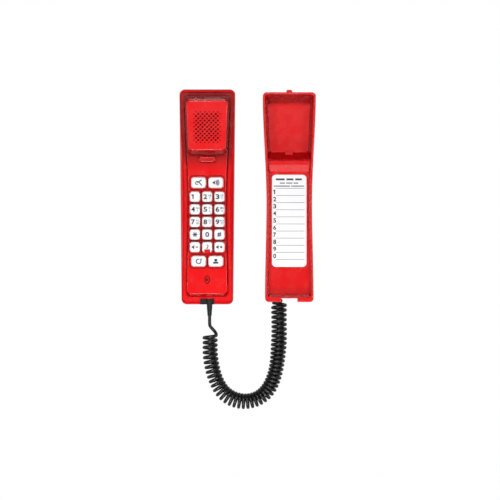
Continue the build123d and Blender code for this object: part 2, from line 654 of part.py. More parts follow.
# The front panel is a plate in the lip, a raised waisted panel and the earpiece block.
with BuildPart() as handset_front_panel:
    with BuildSketch(handset_plane(-PLATE)):
        add(waisted_face(SEAM - RIM_CLEARANCE, LIP_BOTTOM + SEAM, LIP_TOP - SEAM, BASE_CORNER))
    extrude(amount=PLATE)
    with BuildSketch(handset_plane(0)):
        add(waisted_face(PANEL_INSET, PANEL_FOOT, PANEL_TOP, PANEL_CORNER))
    with BuildSketch(handset_plane(PANEL_FACE)):
        add(
            waisted_face(
                PANEL_INSET + PANEL_DRAFT,
                PANEL_FOOT + PANEL_BOTTOM_DRAFT,
                PANEL_TOP - PANEL_DRAFT,
                PANEL_CORNER,
            )
        )
    loft()
    panel_face = handset_front_panel.faces().sort_by(Axis.Y)[0]
    fillet(panel_face.edges(), PANEL_EDGE)
    with BuildSketch(handset_plane(PANEL_FACE - PANEL_EDGE)):
        add(tapered_face(*BLOCK_FOOT, BLOCK_CORNER))
    with BuildSketch(handset_plane(BLOCK_FACE)):
        add(tapered_face(*BLOCK_FRONT, BLOCK_CORNER))
    loft()
    block_face = handset_front_panel.faces().sort_by(Axis.Y)[0]
    fillet(block_face.edges(), BLOCK_EDGE)
    # walls behind the plate, then the groove round the panel, deeper along both sides
    low, high = SIDE_GROOVE_LEVELS
    with BuildSketch(handset_plane(-SKIRT_DEPTH)):
        add(waisted_face(SKIRT_INSET, low - SKIRT_MARGIN, high + SKIRT_MARGIN, STRIP_CORNER))
        add(waisted_face(PANEL_CAVITY_INSET, CAVITY_BOTTOM, CAVITY_TOP, PANEL_CORNER), mode=Mode.SUBTRACT)
    extrude(amount=SKIRT_DEPTH - PLATE / 2)
    for depth, low, high in ((GROOVE_DEPTH, LIP_BOTTOM, LIP_TOP), (SIDE_GROOVE_DEPTH, *SIDE_GROOVE_LEVELS)):
        with BuildSketch(handset_plane(-depth)):
            add(waisted_face(GROOVE_INSET, TRAY_BOTTOM, BASE_TOP - RIM, PANEL_CORNER))
            add(waisted_face(PANEL_INSET, PANEL_FOOT, PANEL_TOP, PANEL_CORNER), mode=Mode.SUBTRACT)
            with Locations((0, (low + high) / 2)):
                Rectangle(3 * HALF_WIDTH_TOP, high - low, mode=Mode.INTERSECT)
        extrude(amount=depth, mode=Mode.SUBTRACT)
    # hollow for the keypad, and a chamber for the receiver
    with BuildSketch(handset_plane(-PLATE)):
        add(waisted_face(PANEL_CAVITY_INSET, CAVITY_BOTTOM, CAVITY_TOP, PANEL_CORNER))
    extrude(amount=PLATE + PANEL_FACE - PANEL_SKIN, mode=Mode.SUBTRACT)
    with BuildSketch(handset_plane(0)):
        with Locations((0, sum(CHAMBER_LEVELS) / 2)):
            RectangleRounded(2 * CHAMBER_HALF, CHAMBER_LEVELS[1] - CHAMBER_LEVELS[0], PANEL_CORNER)
    extrude(amount=BLOCK_FACE - PANEL_SKIN, mode=Mode.SUBTRACT)
    # staggered grille, with smaller holes round its edge
    with BuildSketch(handset_plane(BLOCK_FACE - 2 * PANEL_SKIN)):
        for row in range(GRILLE_ROWS):
            reach = 5 + row % 2
            level = RECEIVER_LEVEL + (GRILLE_ROWS // 2 - row) * GRILLE_PITCH
            for column in range(-reach, reach + 1, 2):
                outer = row in (0, GRILLE_ROWS - 1) or abs(column) > 5
                with Locations((column * GRILLE_PITCH, level)):
                    Circle(GRILLE_OUTER_HOLE if outer else GRILLE_HOLE)
    extrude(amount=3 * PANEL_SKIN, mode=Mode.SUBTRACT)
    # key openings
    with BuildSketch(handset_plane(PANEL_FACE - 2 * PANEL_SKIN)):
        for name, place, size in key_places():
            with Locations(place):
                RectangleRounded(size[0] + 2 * KEY_GAP, size[1] + 2 * KEY_GAP, KEY_CORNER + KEY_GAP)
    extrude(amount=4 * PANEL_SKIN, mode=Mode.SUBTRACT)
    # tongue that reaches into the lower edge of the middle key
    with BuildSketch(handset_plane(PANEL_FACE - PANEL_SKIN)):
        with Locations((0, TONGUE_FOOT)):
            RectangleRounded(TONGUE_WIDTH, TONGUE_HEIGHT + 1, 0.8, align=(Align.CENTER, Align.MIN))
    extrude(amount=TONGUE_FRONT - PANEL_FACE + PANEL_SKIN)
    # hook plunger: recess and opening
    with BuildSketch(handset_plane(PANEL_FACE - RECESS_DEPTH)):
        with Locations((0, PLUNGER_LEVEL)):
            RectangleRounded(*PLUNGER_RECESS, 2.0)
    extrude(amount=2 * RECESS_DEPTH, mode=Mode.SUBTRACT)
    with BuildSketch(handset_plane(PANEL_FACE - 2 * PANEL_SKIN)):
        with Locations((0, PLUNGER_LEVEL)):
            SlotOverall(PLUNGER_WIDTH + KEY_GAP, PLUNGER_HEIGHT + KEY_GAP)
    extrude(amount=4 * PANEL_SKIN, mode=Mode.SUBTRACT)
    # microphone hole inside an engraved oval, and the status light's hole
    with BuildSketch(handset_plane(PANEL_FACE - OVAL_DEPTH)):
        with Locations((0, MICROPHONE_LEVEL)):
            Ellipse(OVAL_WIDTH / 2, OVAL_HEIGHT / 2)
            Ellipse(OVAL_WIDTH / 2 - OVAL_LINE, OVAL_HEIGHT / 2 - OVAL_LINE, mode=Mode.SUBTRACT)
    extrude(amount=2 * OVAL_DEPTH, mode=Mode.SUBTRACT)
    with BuildSketch(handset_plane(PANEL_FACE - 2 * PANEL_SKIN)):
        with Locations((0, MICROPHONE_LEVEL)):
            Circle(MICROPHONE_HOLE)
        with Locations(LIGHT_PLACE):
            Circle(LIGHT_RADIUS)
    extrude(amount=4 * PANEL_SKIN, mode=Mode.SUBTRACT)
    # room for the socket, and pilot holes for the screws
    with BuildSketch(handset_plane(-PLATE)):
        with Locations(((SOCKET_LEFT + SOCKET_RIGHT) / 2, SOCKET_TOP)):
            Rectangle(SOCKET_RIGHT - SOCKET_LEFT, BASE_DEPTH, align=(Align.CENTER, Align.MAX))
    extrude(amount=PLATE, mode=Mode.SUBTRACT)
    with BuildSketch(handset_plane(-PLATE)):
        with Locations(*HANDSET_SCREWS):
            Circle(PILOT_RADIUS)
    extrude(amount=PLATE + SCREW_TIP, mode=Mode.SUBTRACT)
save(handset_front_panel.part, "handset_front_panel")

# Three screws from the back hold the panel in the shell.
with BuildPart() as handset_screws:
    with BuildSketch(handset_plane(HANDSET_BACK + HEAD_SINK)):
        with Locations(*HANDSET_SCREWS):
            Circle(SCREW_HEAD_RADIUS)
            RegularPolygon(SCREW_HEX, 6, mode=Mode.SUBTRACT)
    extrude(amount=SCREW_HEAD / 2)
    with BuildSketch(handset_plane(HANDSET_BACK + HEAD_SINK + SCREW_HEAD / 2)):
        with Locations(*HANDSET_SCREWS):
            Circle(SCREW_HEAD_RADIUS)
    extrude(amount=SCREW_HEAD / 2)
    with BuildSketch(handset_plane(HANDSET_BACK + HEAD_SINK + SCREW_HEAD)):
        with Locations(*HANDSET_SCREWS):
            Circle(SCREW_RADIUS - SEAM / 2)
    extrude(amount=SCREW_TIP - HANDSET_BACK - HEAD_SINK - SCREW_HEAD - SEAM)
save(handset_screws.part, "handset_screws")

# ================= keys =================


def key_cap(name, place, size):
    """A key: a rounded cap that stands out of the panel, and a flange that keeps it in."""
    back, front = KEY_FLANGE_LEVELS
    with BuildPart() as key:
        with BuildSketch(handset_plane(back)):
            with Locations(place):
                RectangleRounded(
                    size[0] + 2 * (KEY_GAP + KEY_FLANGE) - 2 * SEAM,
                    size[1] + 2 * (KEY_GAP + KEY_FLANGE) - 2 * SEAM,
                    KEY_CORNER,
                )
        extrude(amount=front - back)
        with BuildSketch(handset_plane(front)):
            with Locations(place):
                RectangleRounded(*size, KEY_CORNER)
        extrude(amount=KEY_FRONT - front)
        fillet(key.faces().sort_by(Axis.Y)[0].edges(), KEY_EDGE)
        if name == "key_mute":
            with BuildSketch(handset_plane(front)):
                with Locations((0, place[1] - size[1] / 2)):
                    Rectangle(TONGUE_WIDTH + 2 * KEY_GAP, 2 * TONGUE_HEIGHT)
            extrude(amount=KEY_FRONT, mode=Mode.SUBTRACT)
    save(key.part, name)


for key_name, key_place, key_size in key_places():
    key_cap(key_name, key_place, key_size)

# Rubber membrane under the keys, with a dome for each.
with BuildPart() as keypad_membrane:
    with BuildSketch(handset_plane(BOARD_BACK + BOARD_THICKNESS)):
        with Locations((0, sum(MEMBRANE_LEVELS) / 2)):
            RectangleRounded(2 * BOARD_HALF, MEMBRANE_LEVELS[1] - MEMBRANE_LEVELS[0], BOARD_CORNER)
    extrude(amount=MEMBRANE_THICKNESS)
    with BuildSketch(handset_plane(BOARD_BACK + BOARD_THICKNESS + MEMBRANE_THICKNESS)):
        with Locations(*[place for name, place, size in key_places()]):
            Circle(DOME_RADIUS)
    extrude(amount=DOME_TOP - BOARD_BACK - BOARD_THICKNESS - MEMBRANE_THICKNESS, taper=DOME_TAPER)
save(keypad_membrane.part, "keypad_membrane")

# ================= hook plunger and its switch =================

with BuildPart() as hook_plunger:
    with BuildSketch(handset_plane(KEY_FLANGE_LEVELS[0])):
        with Locations((0, PLUNGER_LEVEL)):
            SlotOverall(PLUNGER_WIDTH + 2 * KEY_FLANGE + KEY_GAP, PLUNGER_HEIGHT + 2 * KEY_FLANGE)
    extrude(amount=PLUNGER_FLANGE)
    with BuildSketch(handset_plane(KEY_FLANGE_LEVELS[0] + PLUNGER_FLANGE)):
        with Locations((0, PLUNGER_LEVEL)):
            SlotOverall(PLUNGER_WIDTH, PLUNGER_HEIGHT)
    extrude(amount=PLUNGER_FRONT - KEY_FLANGE_LEVELS[0] - PLUNGER_FLANGE)
    fillet(hook_plunger.faces().sort_by(Axis.Y)[0].edges(), PLUNGER_EDGE)
save(hook_plunger.part, "hook_plunger")

# The switch sits on the board under one end of the plunger, and its spring under the other.
with BuildPart() as hook_switch:
    with BuildSketch(handset_plane(BOARD_BACK + BOARD_THICKNESS)):
        with Locations((-SWITCH_OFFSET, PLUNGER_LEVEL)):
            Rectangle(*SWITCH_SIZE)
    extrude(amount=SWITCH_HEIGHT)
    with BuildSketch(handset_plane(BOARD_BACK + BOARD_THICKNESS + SWITCH_HEIGHT)):
        with Locations((-SWITCH_OFFSET, PLUNGER_LEVEL)):
            Circle(SWITCH_BUTTON_RADIUS)
    extrude(amount=SWITCH_BUTTON)
save(hook_switch.part, "hook_switch")

spring_foot = -CHANNEL_PLANE - BOARD_BACK - BOARD_THICKNESS - SPRING_WIRE / 2 - SEAM / 3
with BuildPart() as plunger_spring:
    with BuildLine() as spring_line:
        Helix(
            pitch=SPRING_PITCH,
            height=SPRING_TURNS * SPRING_PITCH,
            radius=SPRING_RADIUS,
            center=(HANDSET_X + SWITCH_OFFSET, spring_foot, PLUNGER_LEVEL),
            direction=(0, -1, 0),
        )
    with BuildSketch(Plane(origin=spring_line.line @ 0, z_dir=spring_line.line % 0)):
        Circle(SPRING_WIRE / 2)
    sweep(is_frenet=True)
save(plunger_spring.part, "plunger_spring")

# ================= electronics =================

with BuildPart() as keypad_circuit_board:
    with BuildSketch(handset_plane(BOARD_BACK)):
        with Locations((0, sum(BOARD_LEVELS) / 2)):
            RectangleRounded(2 * BOARD_HALF, BOARD_LEVELS[1] - BOARD_LEVELS[0], BOARD_CORNER)
    extrude(amount=BOARD_THICKNESS)
    with BuildSketch(handset_plane(BOARD_BACK)):
        with GridLocations(*KEYPAD_CHIP_GRID):
            with Locations((0, sum(BOARD_LEVELS) / 2)):
                Rectangle(*KEYPAD_CHIP)
    extrude(amount=-CHIP_HEIGHT)
save(keypad_circuit_board.part, "keypad_circuit_board")

# Receiver: a shallow cone speaker with its magnet behind it, turned about its own axis.
speaker_axis = Plane(
    origin=(HANDSET_X, -CHANNEL_PLANE - SPEAKER_FRONT, RECEIVER_LEVEL),
    x_dir=(1, 0, 0),
    z_dir=(0, 0, 1),
)
with BuildPart() as receiver_speaker:
    with BuildSketch(speaker_axis):
        with BuildLine():
            Polyline(
                (0, CONE_DEPTH),
                (CONE_RADIUS, CONE_DEPTH),
                (SPEAKER_RADIUS - SPEAKER_FLANGE, 0),
                (SPEAKER_RADIUS, 0),
                (SPEAKER_RADIUS, BASKET_DEPTHS[0]),
                (SPEAKER_RADIUS - SPEAKER_FLANGE, BASKET_DEPTHS[1]),
                (MAGNET_RADIUS, BASKET_DEPTHS[2]),
                (MAGNET_RADIUS, MAGNET_DEPTH),
                (0, MAGNET_DEPTH),
                close=True,
            )
        make_face()
    revolve(axis=Axis((HANDSET_X, 0, RECEIVER_LEVEL), (0, 1, 0)))
save(receiver_speaker.part, "receiver_speaker")

with BuildPart() as receiver_gasket:
    with BuildSketch(handset_plane(SPEAKER_FRONT)):
        with Locations((0, RECEIVER_LEVEL)):
            Circle(SPEAKER_RADIUS)
            Circle(SPEAKER_RADIUS - SPEAKER_FLANGE, mode=Mode.SUBTRACT)
    extrude(amount=BLOCK_FACE - PANEL_SKIN - CLOTH_THICKNESS - SPEAKER_FRONT)
save(receiver_gasket.part, "receiver_gasket")

# Thin acoustic cloth behind the whole grille.
with BuildPart() as receiver_cloth:
    with BuildSketch(handset_plane(BLOCK_FACE - PANEL_SKIN - CLOTH_THICKNESS)):
        with Locations((0, RECEIVER_LEVEL)):
            Rectangle(*CLOTH_SIZE)
    extrude(amount=CLOTH_THICKNESS)
save(receiver_cloth.part, "receiver_cloth")

with BuildPart() as microphone_boot:
    with BuildSketch(handset_plane(BOARD_BACK + BOARD_THICKNESS)):
        with Locations((0, MICROPHONE_LEVEL)):
            Circle(CAPSULE_RADIUS + 0.9)
            Circle(CAPSULE_RADIUS, mode=Mode.SUBTRACT)
    extrude(amount=PANEL_FACE - PANEL_SKIN - BOARD_BACK - BOARD_THICKNESS)
save(microphone_boot.part, "microphone_boot")

with BuildPart() as microphone_capsule:
    with BuildSketch(handset_plane(BOARD_BACK + BOARD_THICKNESS)):
        with Locations((0, MICROPHONE_LEVEL)):
            Circle(CAPSULE_RADIUS)
    extrude(amount=CAPSULE_HEIGHT)
save(microphone_capsule.part, "microphone_capsule")

with BuildPart() as status_light:
    with BuildSketch(handset_plane(PANEL_FACE - PANEL_SKIN - LIGHT_BODY)):
        with Locations(LIGHT_PLACE):
            Circle(2 * LIGHT_RADIUS)
    extrude(amount=LIGHT_BODY)
    with BuildSketch(handset_plane(PANEL_FACE - PANEL_SKIN)):
        with Locations(LIGHT_PLACE):
            Circle(LIGHT_RADIUS - SEAM / 2)
    extrude(amount=PANEL_SKIN)
save(status_light.part, "status_light")

# A steel weight in the shell's back gives the handset its heft.
with BuildPart() as ballast_weight:
    with BuildSketch(handset_plane(HANDSET_BACK + SHELL)):
        RectangleRounded(*WEIGHT_SIZE, 3)
    extrude(amount=WEIGHT_THICKNESS)
save(ballast_weight.part, "ballast_weight")

# The socket fills the cut-out in the handset's foot, with a groove in front for the plug.
with BuildPart() as handset_socket:
    with BuildSketch(handset_plane(SOCKET_BACK)):
        with Locations(((SOCKET_LEFT + SOCKET_RIGHT) / 2, SOCKET_TOP - SEAM)):
            Rectangle(
                SOCKET_RIGHT - SOCKET_LEFT - 2 * SEAM,
                SOCKET_TOP - HANDSET_BOTTOM - 2 * SEAM,
                align=(Align.CENTER, Align.MAX),
            )
    extrude(amount=SOCKET_FRONT - SOCKET_BACK)
    with BuildSketch(handset_plane(SOCKET_BACK)):
        with Locations(((SOCKET_LEFT + SOCKET_RIGHT) / 2, SOCKET_TOP - SEAM)):
            Rectangle(
                SOCKET_RIGHT - SOCKET_LEFT - 2 * SEAM,
                SOCKET_HEIGHT,
                align=(Align.CENTER, Align.MIN),
            )
    extrude(amount=-PLATE - SEAM - SOCKET_BACK)
    with BuildSketch(Plane.XY.offset(HANDSET_BOTTOM - 1)):
        with Locations((HANDSET_PLUG_X, HANDSET_PLUG_Y)):
            Rectangle(PLUG_SIZE[0] + 2 * SEAM, PLUG_SIZE[1] + 2 * SEAM)
    extrude(amount=BOOT_TOP + PLUG_LENGTH + SEAM - HANDSET_BOTTOM + 1, mode=Mode.SUBTRACT)
    with BuildSketch(Plane.XY.offset(HANDSET_BOTTOM - 1)):
        with Locations((HANDSET_PLUG_X, HANDSET_PLUG_Y)):
            Rectangle(PLUG_SIZE[0] + 2 * SEAM, BASE_DEPTH, align=(Align.CENTER, Align.MAX))
    extrude(amount=SOCKET_TOP - SEAM - HANDSET_BOTTOM + 1, mode=Mode.SUBTRACT)
save(handset_socket.part, "handset_socket")

# ================= cord =================


def modular_plug(name, x, y, foot, length):
    """A small modular plug standing on its foot, with its latch on the side to the room."""
    with BuildPart() as plug:
        with BuildSketch(Plane.XY.offset(foot)):
            with Locations((x, y)):
                Rectangle(*PLUG_SIZE)
        extrude(amount=length)
        chamfer(plug.edges().filter_by(Axis.Z), PLUG_EDGE)
    save(plug.part, name)


def cord_boot(name, x, y, top, bottom, top_radius, bottom_radius):
    """A tapered strain relief from the plug down to the cord."""
    with BuildPart() as boot:
        with BuildSketch(Plane.XY.offset(top)):
            with Locations((x, y)):
                Circle(top_radius)
        with BuildSketch(Plane.XY.offset(bottom)):
            with Locations((x, y)):
                Circle(bottom_radius)
        loft()
    save(boot.part, name)


def cord_tube(name, route, diameter):
    """A plain tube along straight runs and the arcs between them, checked by its volume."""
    radii = arc_radii(route)
    with BuildPart() as tube:
        with BuildLine() as path:
            FilletPolyline(*route, radius=radii)
        with BuildSketch(Plane(origin=path.line @ 0, z_dir=path.line % 0)):
            Circle(diameter / 2)
        sweep()
    save(tube.part, name)
    length = path.wires()[0].length
    print(name, "length", round(length, 1), "radii", [round(r, 1) for r in radii])
    print(name, "volume over section times length", round(4 * tube.part.volume / pi / diameter**2 / length, 4))


modular_plug("handset_plug", HANDSET_PLUG_X, HANDSET_PLUG_Y, BOOT_TOP, PLUG_LENGTH)
modular_plug("base_plug", BASE_PLUG_X, BASE_PLUG_Y, BASE_PLUG_FOOT, PLUG_LENGTH)
cord_boot(
    "handset_plug_boot",
    HANDSET_PLUG_X,
    HANDSET_PLUG_Y,
    BOOT_TOP,
    BOOT_BOTTOM,
    BOOT_RADIUS,
    BOOT_TIP_RADIUS,
)
cord_boot(
    "base_plug_boot",
    BASE_PLUG_X,
    BASE_PLUG_Y,
    BASE_PLUG_FOOT,
    COIL_TOP,
    BASE_BOOT_RADIUS,
    BOOT_TIP_RADIUS,
)
cord_tube("cord_coil", COIL_ROUTE, COIL_DIAMETER)
cord_tube("cord_lead", LEAD_ROUTE, WIRE_DIAMETER)
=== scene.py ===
import json
import math

import bmesh
import bpy
from mathutils import Matrix, Vector


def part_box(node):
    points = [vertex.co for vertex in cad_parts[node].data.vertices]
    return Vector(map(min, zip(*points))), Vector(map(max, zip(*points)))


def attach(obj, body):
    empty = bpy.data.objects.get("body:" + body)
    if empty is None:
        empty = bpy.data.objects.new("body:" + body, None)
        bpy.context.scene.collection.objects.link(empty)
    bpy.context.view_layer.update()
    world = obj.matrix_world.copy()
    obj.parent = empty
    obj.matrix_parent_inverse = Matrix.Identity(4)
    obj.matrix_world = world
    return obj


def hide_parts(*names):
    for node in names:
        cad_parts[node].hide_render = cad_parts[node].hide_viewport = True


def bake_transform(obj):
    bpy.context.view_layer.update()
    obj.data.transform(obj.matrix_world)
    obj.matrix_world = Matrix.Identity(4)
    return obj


# The look of a slimline wall telephone: studio, materials, printed legends and card, curly cord.
# Metres, in the frame of the CAD parts: +Z is up, +X is right, the wall is the plane y = 0.

MM = 0.001

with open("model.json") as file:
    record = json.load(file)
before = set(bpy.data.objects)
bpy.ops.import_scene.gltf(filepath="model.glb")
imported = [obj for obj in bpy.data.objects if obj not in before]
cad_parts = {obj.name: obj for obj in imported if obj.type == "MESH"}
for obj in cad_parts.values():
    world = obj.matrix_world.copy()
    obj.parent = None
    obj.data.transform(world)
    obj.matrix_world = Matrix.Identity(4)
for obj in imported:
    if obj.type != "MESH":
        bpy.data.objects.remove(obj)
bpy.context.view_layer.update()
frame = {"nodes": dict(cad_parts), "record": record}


# ---------------------------------------------------------------- camera

VIEW_CENTRE = Vector((-39.15, 0.0, -52.5)) * MM
VIEW_WIDTH = 500 * MM
VIEW_PLANE = -22 * MM
CAMERA_DISTANCE = 2.2
SENSOR = 36.0

camera_data = bpy.data.cameras.new("camera")
camera_data.sensor_width = SENSOR
camera_data.lens = SENSOR * CAMERA_DISTANCE / VIEW_WIDTH
camera = bpy.data.objects.new("camera", camera_data)
camera.location = (VIEW_CENTRE.x, VIEW_PLANE - CAMERA_DISTANCE, VIEW_CENTRE.z)
camera.rotation_euler = (math.radians(90), 0, 0)
bpy.context.scene.collection.objects.link(camera)
bpy.context.scene.camera = camera
bpy.context.scene.view_settings.view_transform = "Standard"

# ---------------------------------------------------------------- studio lights

FRONT_SIZE = (0.4, 0.3)
SIDE_SIZE = (0.3, 0.4)
STRIP_SIZE = (0.5, 1.2)
FOOT_SIZE = (0.08, 0.08)
HANDSET_FOOT = Vector((-0.082, -0.03, -0.085))
# name, place, size, watts and target
LIGHTS = (
    ("top_light", (-0.04, -1.85, 0.87), FRONT_SIZE, 27, VIEW_CENTRE),
    ("low_light", (-0.04, -1.85, -0.97), FRONT_SIZE, 11, VIEW_CENTRE),
    ("left_light", (-0.96, -1.85, -0.05), SIDE_SIZE, 10, VIEW_CENTRE),
    ("right_light", (0.88, -1.85, -0.05), SIDE_SIZE, 11, VIEW_CENTRE),
    ("left_strip", (-1.8, -0.22, 0.0), STRIP_SIZE, 6, VIEW_CENTRE),
    ("right_strip", (1.7, -0.22, 0.0), STRIP_SIZE, 6, VIEW_CENTRE),
    ("foot_spot", (-0.1, -0.3, -0.42), FOOT_SIZE, 1, HANDSET_FOOT),
)


def area_light(name, place, size, watts, target):
    light_data = bpy.data.lights.new(name, "AREA")
    light_data.shape = "RECTANGLE"
    light_data.size, light_data.size_y = size
    light_data.energy = watts
    light = bpy.data.objects.new(name, light_data)
    light.location = place
    light.rotation_euler = (target - Vector(place)).to_track_quat("-Z", "Y").to_euler()
    bpy.context.scene.collection.objects.link(light)


for light_row in LIGHTS:
    area_light(*light_row)

# ---------------------------------------------------------------- shader helpers


def feed(tree, value, socket):
    """Links a node's output to an input, or sets the input to a number or colour."""
    if isinstance(value, bpy.types.NodeSocket):
        tree.links.new(value, socket)
    else:
        socket.default_value = value


def axes_of(tree, coordinates):
    """The X, Y and Z outputs of one kind of texture coordinates."""
    place = tree.nodes.new("ShaderNodeTexCoord")
    axes = tree.nodes.new("ShaderNodeSeparateXYZ")
    tree.links.new(place.outputs[coordinates], axes.inputs["Vector"])
    return axes.outputs


def remap(tree, value, source, target=(0, 1), interpolation="LINEAR"):
    """A value carried from one range to another, and held inside it."""
    span = tree.nodes.new("ShaderNodeMapRange")
    span.interpolation_type = interpolation
    span.inputs["From Min"].default_value = source[0]
    span.inputs["From Max"].default_value = source[1]
    span.inputs["To Min"].default_value = target[0]
    span.inputs["To Max"].default_value = target[1]
    tree.links.new(value, span.inputs["Value"])
    return span.outputs["Result"]


def calculate(tree, operation, *values):
    node = tree.nodes.new("ShaderNodeMath")
    node.operation = operation
    for value, socket in zip(values, node.inputs):
        feed(tree, value, socket)
    return node.outputs["Value"]


def mix_colours(tree, share, first, second):
    mix = tree.nodes.new("ShaderNodeMix")
    mix.data_type = "RGBA"
    feed(tree, share, mix.inputs["Factor"])
    feed(tree, first, mix.inputs["A"])
    feed(tree, second, mix.inputs["B"])
    return mix.outputs["Result"]


def rgba(colour, share=1.0):
    """A colour scaled by a share, with the alpha that shader sockets need."""
    return (*[c * share for c in colour], 1)


# ---------------------------------------------------------------- world

FRONT_LEVEL = 0.02
SURROUND_LEVEL = 1.0
SURROUND_EDGES = (-0.35, 0.3)  # Y directions where the front level ends and the surround's begins


def studio_world():
    """Dark in front of the phone, bright behind it, and white wherever the camera sees it."""
    world = bpy.data.worlds.new("studio")
    world.use_nodes = True
    tree = world.node_tree
    level = remap(tree, axes_of(tree, "Generated")["Y"], SURROUND_EDGES, (FRONT_LEVEL, SURROUND_LEVEL))
    seen = tree.nodes.new("ShaderNodeLightPath").outputs["Is Camera Ray"]
    background = tree.nodes["Background"]
    background.inputs["Color"].default_value = (1, 1, 1, 1)
    tree.links.new(calculate(tree, "MAXIMUM", level, seen), background.inputs["Strength"])
    return world


bpy.context.scene.world = studio_world()

# ---------------------------------------------------------------- materials

NOISE_RANGE = (0.3, 0.7)  # most of a noise texture's values lie between these
PLASTIC_COLOUR_SCALE = 30
PLASTIC_GLOSS_SCALE = 90
PLASTIC_GLOSS_RANGE = (0.88, 1.15)
METAL_COLOUR_SCALE = 400
METAL_DARKER = 0.85
METAL_GLOSS_SCALE = 1500
METAL_GLOSS_RANGE = (0.7, 1.3)


def new_material(name, colour, roughness):
    material = bpy.data.materials.new(name)
    material.use_nodes = True
    principled = material.node_tree.nodes["Principled BSDF"]
    principled.inputs["Base Color"].default_value = rgba(colour)
    principled.inputs["Roughness"].default_value = roughness
    return material, material.node_tree, principled


def shader_of(material):
    return material.node_tree.nodes["Principled BSDF"]


def noise(tree, scale, detail=3.0):
    place = tree.nodes.new("ShaderNodeTexCoord")
    texture = tree.nodes.new("ShaderNodeTexNoise")
    texture.inputs["Scale"].default_value = scale
    texture.inputs["Detail"].default_value = detail
    tree.links.new(place.outputs["Object"], texture.inputs["Vector"])
    return texture.outputs["Fac"]


def vary_colour(tree, principled, colour, darker, scale):
    share = remap(tree, noise(tree, scale), NOISE_RANGE)
    varied = mix_colours(tree, share, rgba(colour), rgba(colour, darker))
    tree.links.new(varied, principled.inputs["Base Color"])


def vary_roughness(tree, principled, roughness, shares, scale):
    target = (roughness * shares[0], roughness * shares[1])
    rough = remap(tree, noise(tree, scale), NOISE_RANGE, target)
    tree.links.new(rough, principled.inputs["Roughness"])


def add_grain(tree, principled, scale, depth, strength):
    bump = tree.nodes.new("ShaderNodeBump")
    bump.inputs["Distance"].default_value = depth
    bump.inputs["Strength"].default_value = strength
    tree.links.new(noise(tree, scale, 2.0), bump.inputs["Height"])
    tree.links.new(bump.outputs["Normal"], principled.inputs["Normal"])


def moulded(name, colour, roughness, darker=0.92, grain=2500, depth=0.00001, strength=0.2):
    material, tree, principled = new_material(name, colour, roughness)
    vary_colour(tree, principled, colour, darker, PLASTIC_COLOUR_SCALE)
    vary_roughness(tree, principled, roughness, PLASTIC_GLOSS_RANGE, PLASTIC_GLOSS_SCALE)
    add_grain(tree, principled, grain, depth, strength)
    return material


def metal(name, colour, roughness):
    material, tree, principled = new_material(name, colour, roughness)
    principled.inputs["Metallic"].default_value = 1.0
    vary_colour(tree, principled, colour, METAL_DARKER, METAL_COLOUR_SCALE)
    vary_roughness(tree, principled, roughness, METAL_GLOSS_RANGE, METAL_GLOSS_SCALE)
    return material


RED_DARKER = 0.97
RED_SPECULAR = 0.3
# painted shade: the share of the red kept on side walls, which face away from the front lamps
SIDE_SHADE_SHARE = 0.55
HANDSET_SIDE_SHADE_SHARE = 0.95
SIDE_SHADE_FACING = (0.35, 0.97)  # how squarely a surface faces front or back, from side wall to front, over which the painted side shade fades out


def red_plastic(name, colour, roughness, side_shade_share=SIDE_SHADE_SHARE):
    """Moulded red plastic with painted shade on its side walls: a deeper red there than on its front and
    back.
    """
    material = moulded(name, colour, roughness, darker=RED_DARKER)
    tree = material.node_tree
    principled = shader_of(material)
    principled.inputs["Specular IOR Level"].default_value = RED_SPECULAR
    plain = principled.inputs["Base Color"].links[0].from_socket
    # painted side shade: the red darkens where the surface faces sideways
    facing = calculate(tree, "ABSOLUTE", axes_of(tree, "Normal")["Y"])
    share = remap(tree, facing, SIDE_SHADE_FACING)
    painted_shade_colour = mix_colours(tree, share, rgba(colour, side_shade_share), plain)
    tree.links.new(painted_shade_colour, principled.inputs["Base Color"])
    return material


SHADE_LEVELS = (0.024, 0.045)  # heights between which the shade grows, up to the block's foot
SHADE_DEPTHS = (-0.033, -0.030)  # Y places where it grows, from the block's walls to the panel's face
SHADE_MOST = 0.58
BLACK = (0, 0, 0, 1)


def shade_below_block(material):
    """Deepens the panel's red in the corner that the earpiece block closes in."""
    tree = material.node_tree
    principled = shader_of(material)
    plain = principled.inputs["Base Color"].links[0].from_socket
    axes = axes_of(tree, "Object")
    near = remap(tree, axes["Z"], SHADE_LEVELS, (0, SHADE_MOST), "SMOOTHSTEP")
    low = remap(tree, axes["Y"], SHADE_DEPTHS)
    painted_shade_colour = mix_colours(tree, calculate(tree, "MULTIPLY", near, low), plain, BLACK)
    tree.links.new(painted_shade_colour, principled.inputs["Base Color"])


PAPER_GRAIN = 4000
CORD_GRAIN = 1800
FOAM = {"grain": 900, "depth": 0.0002, "strength": 0.6}
CLOTH = {"grain": 6000, "depth": 0.0001, "strength": 0.8}
WHITE_DARKER = 0.97

